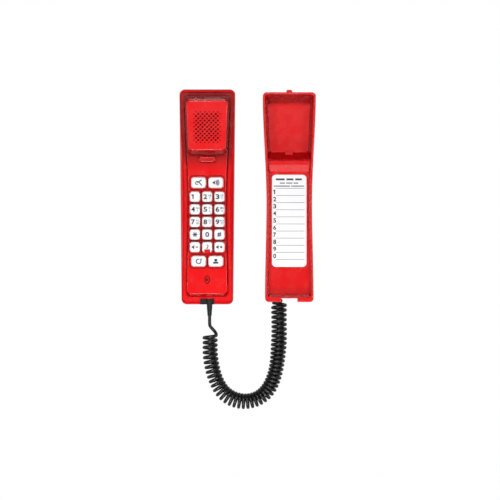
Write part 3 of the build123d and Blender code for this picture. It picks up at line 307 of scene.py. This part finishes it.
materials = {
    "red_base_shell": red_plastic("red_base_shell", (0.46, 0.002, 0.003), 0.27),
    "red_rear_cover": red_plastic("red_rear_cover", (0.44, 0.002, 0.003), 0.42),
    "red_handset_shell": red_plastic("red_handset_shell", (0.44, 0.002, 0.004), 0.18, HANDSET_SIDE_SHADE_SHARE),
    "red_handset_panel": red_plastic("red_handset_panel", (0.50, 0.002, 0.003), 0.25),
    # painted shade: the plunger's red is darker than the panel's, for the shade of the earpiece block
    # above it
    "red_plunger": red_plastic("red_plunger", (0.36, 0.002, 0.003), 0.28),
    "key_white": moulded("key_white", (0.53, 0.53, 0.54), 0.38, WHITE_DARKER),
    "card_paper": moulded("card_paper", (0.55, 0.55, 0.56), 0.6, WHITE_DARKER, PAPER_GRAIN),
    "cord_black": moulded("cord_black", (0.004, 0.004, 0.0045), 0.32, grain=CORD_GRAIN),
    "plug_grey": moulded("plug_grey", (0.012, 0.012, 0.013), 0.3),
    "socket_black": moulded("socket_black", (0.004, 0.004, 0.004), 0.35),
    "jack_black": moulded("jack_black", (0.012, 0.012, 0.012), 0.4),
    "switch_black": moulded("switch_black", (0.02, 0.02, 0.02), 0.4),
    "membrane_rubber": moulded("membrane_rubber", (0.2, 0.2, 0.21), 0.6),
    "wall_pad_rubber": moulded("wall_pad_rubber", (0.03, 0.03, 0.03), 0.7),
    "foam_gasket": moulded("foam_gasket", (0.03, 0.03, 0.03), 0.9, **FOAM),
    "circuit_board": moulded("circuit_board", (0.01, 0.14, 0.05), 0.35),
    "screw_steel": metal("screw_steel", (0.6, 0.6, 0.62), 0.3),
    "spring_steel": metal("spring_steel", (0.65, 0.65, 0.67), 0.25),
    "speaker_metal": metal("speaker_metal", (0.45, 0.45, 0.47), 0.35),
    "ballast_steel": metal("ballast_steel", (0.5, 0.5, 0.52), 0.45),
    "light_lens": moulded("light_lens", (0.25, 0.0, 0.0), 0.15),
    "acoustic_cloth": moulded("acoustic_cloth", (0.006, 0.006, 0.006), 0.9, **CLOTH),
    "capsule_black": moulded("capsule_black", (0.015, 0.015, 0.015), 0.5),
}
DULL_SLOTS = ("cord_black", "acoustic_cloth", "capsule_black", "plug_grey", "socket_black")
DULL_SPECULAR = 0.25
for slot in DULL_SLOTS:
    shader_of(materials[slot]).inputs["Specular IOR Level"].default_value = DULL_SPECULAR
shade_below_block(materials["red_handset_panel"])

for subpart in frame["record"]["subparts"]:
    node = frame["nodes"][subpart["node"]]
    node.data.materials.clear()
    node.data.materials.append(materials[subpart["material_slot"]])

# ---------------------------------------------------------------- stage

FLOOR_LEVEL = -1.5
FLOOR_HALF = 12.0
FLOOR_CORNERS = ((-1, -1), (1, -1), (1, 1), (-1, 1))
FLOOR_COLOUR = (0.86, 0.86, 0.86)
FLOOR_ROUGHNESS = 0.6
FLOOR_GLOW = 0.5

# the floor glows only where the camera sees it, so that it is pale and doesn't light the phone
floor_material, floor_tree, floor_shader = new_material("floor_pale", FLOOR_COLOUR, FLOOR_ROUGHNESS)
floor_shader.inputs["Emission Color"].default_value = (1, 1, 1, 1)
floor_seen = floor_tree.nodes.new("ShaderNodeLightPath").outputs["Is Camera Ray"]
floor_glow = calculate(floor_tree, "MULTIPLY", floor_seen, FLOOR_GLOW)
floor_tree.links.new(floor_glow, floor_shader.inputs["Emission Strength"])

floor_points = [(x * FLOOR_HALF, y * FLOOR_HALF, FLOOR_LEVEL) for x, y in FLOOR_CORNERS]
floor_mesh = bpy.data.meshes.new("floor")
floor_mesh.from_pydata(floor_points, [], [(0, 1, 2, 3)])
floor_mesh.materials.append(floor_material)
floor = bpy.data.objects.new("floor", floor_mesh)
bpy.context.scene.collection.objects.link(floor)

# ---------------------------------------------------------------- inks and flat shapes

INK_THICKNESS = 0.03 * MM
INK_ROUGHNESS = 0.6
INK_SPECULAR = 0.1
ARC_STEPS = 24


def ink(name, colour):
    """Flat ink, which hardly mirrors: for print, and for painted shade."""
    material = moulded(name, colour, INK_ROUGHNESS)
    shader_of(material).inputs["Specular IOR Level"].default_value = INK_SPECULAR
    return material


dark_ink = ink("dark_ink", (0.012, 0.014, 0.016))
grey_ink = ink("grey_ink", (0.05, 0.05, 0.07))
green_ink = ink("green_ink", (0.02, 0.09, 0.05))
black_ink = ink("black_ink", (0.012, 0.012, 0.012))
rule_ink = ink("rule_ink", (0.11, 0.115, 0.12))
# painted shade: a dark red for the shade in the key gaps and in the groove round the microphone
painted_shade_ink = ink("painted_shade_ink", (0.045, 0.001, 0.001))


def to_mesh(curve):
    curve.extrude = INK_THICKNESS / MM
    holder = bpy.data.objects.new("holder", curve)
    mesh = bpy.data.meshes.new_from_object(holder)
    bpy.data.objects.remove(holder)
    return mesh


def outlines(*loops):
    """Flat shapes from closed outlines in millimetres; an outline inside another is its hole."""
    curve = bpy.data.curves.new("outlines", "CURVE")
    curve.dimensions = "2D"
    curve.fill_mode = "BOTH"
    for loop in loops:
        spline = curve.splines.new("POLY")
        spline.points.add(len(loop) - 1)
        for point, (x, y) in zip(spline.points, loop):
            point.co = (x, y, 0, 1)
        spline.use_cyclic_u = True
    return to_mesh(curve)


def arc(centre, radius, start, stop, steps=ARC_STEPS):
    """Points along an arc, from start to stop degrees, anticlockwise."""
    angles = [math.radians(start + (stop - start) * i / steps) for i in range(steps + 1)]
    return [(centre[0] + radius * math.cos(a), centre[1] + radius * math.sin(a)) for a in angles]


def arc_band(centre, radius, width, start, stop):
    """Outline of a band along an arc."""
    outer = arc(centre, radius + width / 2, start, stop)
    inner = arc(centre, radius - width / 2, start, stop)
    return outer + inner[::-1]


def disc(centre, radius, steps=ARC_STEPS):
    return arc(centre, radius, 0, 360, steps)[:-1]


def bar(start, stop, width):
    """Outline of a straight stroke with square ends."""
    a, b = Vector(start), Vector(stop)
    side = (b - a).normalized().orthogonal() * width / 2
    return [tuple(a + side), tuple(b + side), tuple(b - side), tuple(a - side)]


CORNER_STEPS = 6


def rounded(low, high, corner):
    """Outline of a rectangle with round corners, from its lowest and highest corner."""
    left, right = low[0] + corner, high[0] - corner
    bottom, top = low[1] + corner, high[1] - corner
    loop = []
    for quarter, centre in enumerate(((right, top), (left, top), (left, bottom), (right, bottom))):
        loop += arc(centre, corner, 90 * quarter, 90 * (quarter + 1), CORNER_STEPS)
    return loop


# ---------------------------------------------------------------- characters

FINE_WEIGHT = 0.02
BOLD_WEIGHT = 0.03
# a one of height 1 about its middle: its stem stands on the right, its flag on the left
ONE_OUTLINE = (
    (0.12, -0.5), (0.12, 0.5), (-0.06, 0.5), (-0.34, 0.33),
    (-0.34, 0.11), (-0.12, 0.25), (-0.12, -0.5),
)


def numeral_one(height, centre):
    return outlines([(centre[0] + x * height, centre[1] + y * height) for x, y in ONE_OUTLINE])


def glyphs(text, height, centre, width=None, weight=FINE_WEIGHT):
    """Characters of a given height in millimetres, centred on a point of the printed face.

    A nine is a six upside down, because the font's own nine breaks up when its strokes widen.
    """
    if text == "1":
        return numeral_one(height, centre)
    turned = text == "9"
    curve = bpy.data.curves.new("glyphs", "FONT")
    curve.body = "6" if turned else text
    curve.offset = weight
    mesh = to_mesh(curve)
    xs = [v.co.x for v in mesh.vertices]
    ys = [v.co.y for v in mesh.vertices]
    scale_y = height / (max(ys) - min(ys))
    scale_x = scale_y if width is None else width / (max(xs) - min(xs))
    middle = Vector(((max(xs) + min(xs)) / 2, (max(ys) + min(ys)) / 2))
    if turned:
        scale_x, scale_y = -scale_x, -scale_y
    for v in mesh.vertices:
        v.co.x = (v.co.x - middle.x) * scale_x + centre[0]
        v.co.y = (v.co.y - middle.y) * scale_y + centre[1]
    return mesh


# ---------------------------------------------------------------- printing, and painted shade


def print_and_shade_on(name, centre, front, body, layers):
    """Joins flat layers, each a mesh and its ink, into one piece on a face towards -Y: printed legends,
    and painted shade.
    """
    made = bmesh.new()
    inks = []
    for mesh, tone in layers:
        if tone not in inks:
            inks.append(tone)
        first = len(made.faces)
        made.from_mesh(mesh)
        made.faces.ensure_lookup_table()
        for polygon in made.faces[first:]:
            polygon.material_index = inks.index(tone)
    for v in made.verts:
        x, y, z = v.co
        v.co = (centre[0] + x * MM, front - z * MM, centre[1] + y * MM)
    mesh = bpy.data.meshes.new(name)
    made.to_mesh(mesh)
    made.free()
    for tone in inks:
        mesh.materials.append(tone)
    piece = bpy.data.objects.new(name, mesh)
    bpy.context.scene.collection.objects.link(piece)
    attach(piece, body)


def straight(start, stop, width, tone):
    """One printed layer: a straight stroke and its ink."""
    return outlines(bar(start, stop, width)), tone


def curved(centre, radius, width, start, stop, tone):
    """One flat layer, for print and for painted shade: a stroke along an arc and its ink."""
    return outlines(arc_band(centre, radius, width, start, stop)), tone


def print_on_key(key, layers):
    low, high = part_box(key)
    print_and_shade_on("print_" + key, ((low.x + high.x) / 2, (low.z + high.z) / 2), low.y, key, layers)


# ---------------------------------------------------------------- key legends

DIGIT_SIZE = (3.7, 4.9)
DIGIT_X = -1.9
HASH_SIZE = (3.9, 4.8)
LETTER_HEIGHT = 1.9
LETTER_PLACES = ((2.5, 1.25), (2.7, -1.35))
KEY_LETTERS = {
    "1": (), "2": ("AB", "C"), "3": ("DE", "F"), "4": ("GH", "I"), "5": ("JK", "L"),
    "6": ("MN", "O"), "7": ("PQ", "RS"), "8": ("TU", "V"), "9": ("WX", "YZ"),
}
MIDDLE = (0, 0)
for digit, rows in KEY_LETTERS.items():
    symbols = [(glyphs(digit, DIGIT_SIZE[1], (DIGIT_X, 0), DIGIT_SIZE[0], BOLD_WEIGHT), dark_ink)]
    for text, place in zip(rows, LETTER_PLACES):
        symbols.append((glyphs(text, LETTER_HEIGHT, place), grey_ink))
    print_on_key("key_" + digit, symbols)
print_on_key("key_0", [(glyphs("0", DIGIT_SIZE[1], MIDDLE, DIGIT_SIZE[0], BOLD_WEIGHT), dark_ink)])
print_on_key("key_hash", [(glyphs("#", HASH_SIZE[1], MIDDLE, HASH_SIZE[0], BOLD_WEIGHT), dark_ink)])

STAR_ARMS = 4
STAR_RADIUS = 2.75
STAR_STROKE = 0.7
star = []
for arm in range(STAR_ARMS):
    angle = math.pi * arm / STAR_ARMS
    tip = (STAR_RADIUS * math.cos(angle), STAR_RADIUS * math.sin(angle))
    star.append(straight((-tip[0], -tip[1]), tip, STAR_STROKE, dark_ink))
print_on_key("key_star", star)

HORN_BACK = -3.1
HORN_SIZE = 2.3
# upper half of a small loudspeaker of size 1 that points right: its box, then its horn's mouth
HORN_UPPER = ((0, 0.35), (0.4, 0.35), (1, 1))
horn_half = [(HORN_BACK + x * HORN_SIZE, y * HORN_SIZE) for x, y in HORN_UPPER]
loudspeaker = (outlines(horn_half + [(x, -y) for x, y in reversed(horn_half)]), dark_ink)
minus = straight((0.6, 0), (3.0, 0), 1.0, dark_ink)
REDIAL_ARROW = ((1.3, 1.1), (3.4, 1.1), (2.4, 3.0))
KEY_SYMBOLS = {
    "key_volume_down": [loudspeaker, minus],
    "key_volume_up": [loudspeaker, minus, straight((1.8, -1.2), (1.8, 1.2), 1.0, dark_ink)],
    "key_mute": [
        curved((-0.2, 0.9), 1.15, 0.8, -70, 110, green_ink),
        straight((0.5, 0.0), (-0.4, -1.9), 0.8, dark_ink),
    ],
    "key_speaker": [
        loudspeaker,
        curved((-1.2, 0), 1.9, 0.9, -55, 55, dark_ink),
        curved((-1.2, 0), 3.15, 0.8, -52, 52, dark_ink),
        curved((-1.2, 0), 4.35, 0.8, -45, 45, dark_ink),
    ],
    "key_flash": [
        curved((-1.5, -0.3), 1.5, 1.0, 60, 300, green_ink),
        straight((-1.4, 0.0), (3.2, 2.9), 1.0, dark_ink),
        straight((0.0, 0.9), (3.3, -2.9), 1.0, dark_ink),
    ],
    "key_redial": [
        curved((0, -0.1), 2.25, 0.95, 75, 385, dark_ink),
        (outlines(REDIAL_ARROW), dark_ink),
    ],
    "key_service": [
        (outlines(disc((0, 1.1), 1.5)), dark_ink),
        straight((-2.6, -1.5), (2.6, -1.5), 1.7, dark_ink),
    ],
}
for key, symbols in KEY_SYMBOLS.items():
    print_on_key(key, symbols)

# ---------------------------------------------------------------- painted shade on the handset's panel: round the microphone and the keys

PANEL_FACE_Y = -29.0 * MM
MICROPHONE_PLACE = (-81.8 * MM, -82.1 * MM)
OVAL_STEPS = 48
OVAL_RADII = ((2.8, 4.2), (1.8, 3.2))
HOLE_RING = (1.0, 0.8, 50, 310)

# painted shade: a dark red oval over the engraved groove round the microphone, and an arc round its hole
oval = []
for across, up in OVAL_RADII:
    oval.append([(x * across, y * up) for x, y in disc(MIDDLE, 1, OVAL_STEPS)])
microphone_shade_layers = [(outlines(*oval), painted_shade_ink), curved(MIDDLE, *HOLE_RING, painted_shade_ink)]
print_and_shade_on("painted_microphone_shade", MICROPHONE_PLACE, PANEL_FACE_Y, "handset", microphone_shade_layers)

# painted shade: a dark red ring round each key, for the shadow in the gap round it
KEY_SHADE_WIDTH = 0.7
KEY_SHADE_GAP = 0.5
KEY_SHADE_CORNER = 2.2


def key_outline(key, out):
    """Outline a given distance outside a key's cap, in millimetres from the microphone hole."""
    corners = []
    for place, side in zip(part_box(key), (-1, 1)):
        x = (place.x - MICROPHONE_PLACE[0]) / MM + side * out
        z = (place.z - MICROPHONE_PLACE[1]) / MM + side * out
        corners.append((x, z))
    return rounded(*corners, KEY_SHADE_CORNER + out)


key_shade_layers = []
for subpart in frame["record"]["subparts"]:
    key = subpart["node"]
    if key.startswith("key_") and key != "key_membrane":
        key_shade = outlines(key_outline(key, KEY_SHADE_GAP + KEY_SHADE_WIDTH), key_outline(key, KEY_SHADE_GAP))
        key_shade_layers.append((key_shade, painted_shade_ink))
print_and_shade_on("painted_key_gap_shade", MICROPHONE_PLACE, PANEL_FACE_Y, "handset", key_shade_layers)

# ---------------------------------------------------------------- directory card print

CARD_LINES = 11
LINE_PITCH = 7.1
FIRST_LINE_DROP = 13.6
LINE_ENDS = (-13.2, 15.2)
LINE_WEIGHT = 0.45
NUMERAL_SIZE = (2.9, 4.5)
NUMERAL_X = -14.5
NUMERAL_DROP = 3.6
# left end, right end, distance below the card's top, thickness
HEADER_BARS = (
    (-13.4, -4.6, 4.6, 1.9), (-2.8, 4.2, 4.6, 1.9), (6.0, 12.6, 4.6, 1.9),
    (-9.4, -4.2, 8.3, 1.0), (-3.0, 3.2, 8.3, 1.0), (4.4, 9.0, 8.3, 1.0),
    (-15.4, 0.8, 11.3, 1.0), (2.0, 14.8, 11.3, 1.0),
)
card_low, card_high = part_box("directory_card")
card_centre = ((card_low.x + card_high.x) / 2, (card_low.z + card_high.z) / 2)
card_half = (card_high.z - card_low.z) / 2 / MM
card_layers = []
for line in range(CARD_LINES):
    level = card_half - FIRST_LINE_DROP - LINE_PITCH * line
    card_layers.append(straight((LINE_ENDS[0], level), (LINE_ENDS[1], level), LINE_WEIGHT, rule_ink))
    if line < CARD_LINES - 1:
        place = (NUMERAL_X, level - NUMERAL_DROP)
        numeral = glyphs(str((line + 1) % 10), NUMERAL_SIZE[1], place, NUMERAL_SIZE[0], BOLD_WEIGHT)
        card_layers.append((numeral, black_ink))
for left, right, drop, thickness in HEADER_BARS:
    level = card_half - drop
    card_layers.append(straight((left, level), (right, level), thickness, grey_ink))
print_and_shade_on("print_directory_card", card_centre, card_low.y, "base", card_layers)

# ---------------------------------------------------------------- curly cord

WIRE_DIAMETER = 3.3 * MM
WIRE_SIDES = 14
HELIX_RADIUS = 6.3 * MM
END_PITCH = 4.9 * MM
MIDDLE_PITCH = 3.9 * MM
STEPS_PER_TURN = 28
LEAD_LENGTH = 19.5 * MM
LEAD_CLOSING = 11 * MM
COIL_OPENING = 6 * MM
# small changes of the coil's radius along it: share, rate per metre, phase
WOBBLES = ((0.025, 61, 0), (0.02, 143, 1))
ROUTE_STEPS = 24
COIL_ROUTE = (
    (-10, -9, -101), (-10, -9, -119), (-9.7, -9, -138), (-10.8, -9.2, -158), (-13.6, -9.6, -177.5),
    (-21.5, -10.4, -195.3), (-35.5, -12, -204.3), (-52, -13.8, -204.4), (-65.8, -15.2, -196.8),
    (-74.4, -16.3, -181.5), (-79.1, -17.2, -161), (-79.1, -17.2, -141.5),
)
LEAD_ROUTE = ((-79.1, -17.2, -134), (-79.65, -18.2, -126), (-79.65, -18.2, -118.5))


def route_line(route):
    """Points along the smooth line that a route controls."""
    curve = bpy.data.curves.new("route", "CURVE")
    curve.dimensions = "3D"
    curve.resolution_u = ROUTE_STEPS
    spline = curve.splines.new("NURBS")
    spline.points.add(len(route) - 1)
    for point, place in zip(spline.points, route):
        point.co = (*[c * MM for c in place], 1)
    spline.order_u = 3
    spline.use_endpoint_u = True
    holder = bpy.data.objects.new("route", curve)
    mesh = bpy.data.meshes.new_from_object(holder)
    bpy.data.objects.remove(holder)
    return [v.co.copy() for v in mesh.vertices]


def distances(line):
    """How far along the line each of its points is."""
    reached = [0.0]
    for a, b in zip(line, line[1:]):
        reached.append(reached[-1] + (b - a).length)
    return reached


def even_points(line, count):
    """The line again, as count points the same distance apart."""
    reached = distances(line)
    points = []
    segment = 0
    for i in range(count):
        at = reached[-1] * i / (count - 1)
        while segment < len(line) - 2 and reached[segment + 1] < at:
            segment += 1
        share = (at - reached[segment]) / max(reached[segment + 1] - reached[segment], 1e-9)
        points.append(line[segment].lerp(line[segment + 1], min(max(share, 0), 1)))
    return points


def smooth(t):
    t = min(max(t, 0.0), 1.0)
    return t * t * (3 - 2 * t)


def carried_frames(points):
    """The direction and a side direction at each point, carried along without twist."""
    tangents = [(b - a).normalized() for a, b in zip(points, points[1:])]
    tangents.append(tangents[-1])
    side = tangents[0].orthogonal().normalized()
    sides = []
    for tangent in tangents:
        side = (side - tangent * side.dot(tangent)).normalized()
        sides.append(side)
    return tangents, sides


def turn_angles(tangents, sides, last, step):
    """Angle of the wire round the route at each point.

    The last turn ends on the right. The turns lie closer together where the coil hangs lowest.
    """
    right = Vector((1, 0, 0))
    up = tangents[last].cross(sides[last])
    angles = [math.atan2(right.dot(up), right.dot(sides[last]))] * len(tangents)
    for i in range(last - 1, -1, -1):
        hang = math.sin(math.pi * i / last) ** 2
        pitch = END_PITCH + (MIDDLE_PITCH - END_PITCH) * hang
        angles[i] = angles[i + 1] - 2 * math.pi * step / pitch
    return angles


def helix(line):
    """The wire's own line: turns round the route's line from the base, then the straight lead.

    The first turn opens out from the middle of the route, and after the last one the wire comes
    in to the middle again.
    """
    length = distances(line)[-1]
    coil_length = length - LEAD_LENGTH
    count = int(STEPS_PER_TURN * length / MIDDLE_PITCH)
    step = length / (count - 1)
    centres = even_points(line, count)
    tangents, sides = carried_frames(centres)
    last = round((count - 1) * coil_length / length)
    angles = turn_angles(tangents, sides, last, step)
    wire = []
    for i, (centre, tangent, side, angle) in enumerate(zip(centres, tangents, sides, angles)):
        s = step * i
        opening = smooth(s / COIL_OPENING) * smooth((coil_length + LEAD_CLOSING - s) / LEAD_CLOSING)
        wobble = 1 + sum(share * math.sin(s * rate + phase) for share, rate, phase in WOBBLES)
        turned = Matrix.Rotation(angle, 3, tangent) @ side
        wire.append(centre + turned * HELIX_RADIUS * opening * wobble)
    return wire


def tube(name, path, radius, sides):
    """A round tube with closed ends along a path."""
    made = bmesh.new()
    tangents, across = carried_frames(path)
    rings = []
    for place, tangent, side in zip(path, tangents, across):
        up = tangent.cross(side)
        ring = []
        for k in range(sides):
            a = 2 * math.pi * k / sides
            ring.append(made.verts.new(place + (side * math.cos(a) + up * math.sin(a)) * radius))
        rings.append(ring)
    for lower, upper in zip(rings, rings[1:]):
        for k in range(sides):
            made.faces.new((lower[k], lower[(k + 1) % sides], upper[(k + 1) % sides], upper[k]))
    made.faces.new(rings[0][::-1])
    made.faces.new(rings[-1])
    bmesh.ops.recalc_face_normals(made, faces=made.faces)
    mesh = bpy.data.meshes.new(name)
    made.to_mesh(mesh)
    made.free()
    for polygon in mesh.polygons:
        polygon.use_smooth = True
    piece = bpy.data.objects.new(name, mesh)
    bpy.context.scene.collection.objects.link(piece)
    return piece


cord_path = helix(route_line(COIL_ROUTE + LEAD_ROUTE))
curly_cord = tube("curly_cord", cord_path, WIRE_DIAMETER / 2, WIRE_SIDES)
curly_cord.data.materials.append(materials["cord_black"])
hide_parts("cord_coil", "cord_lead")
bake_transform(curly_cord)
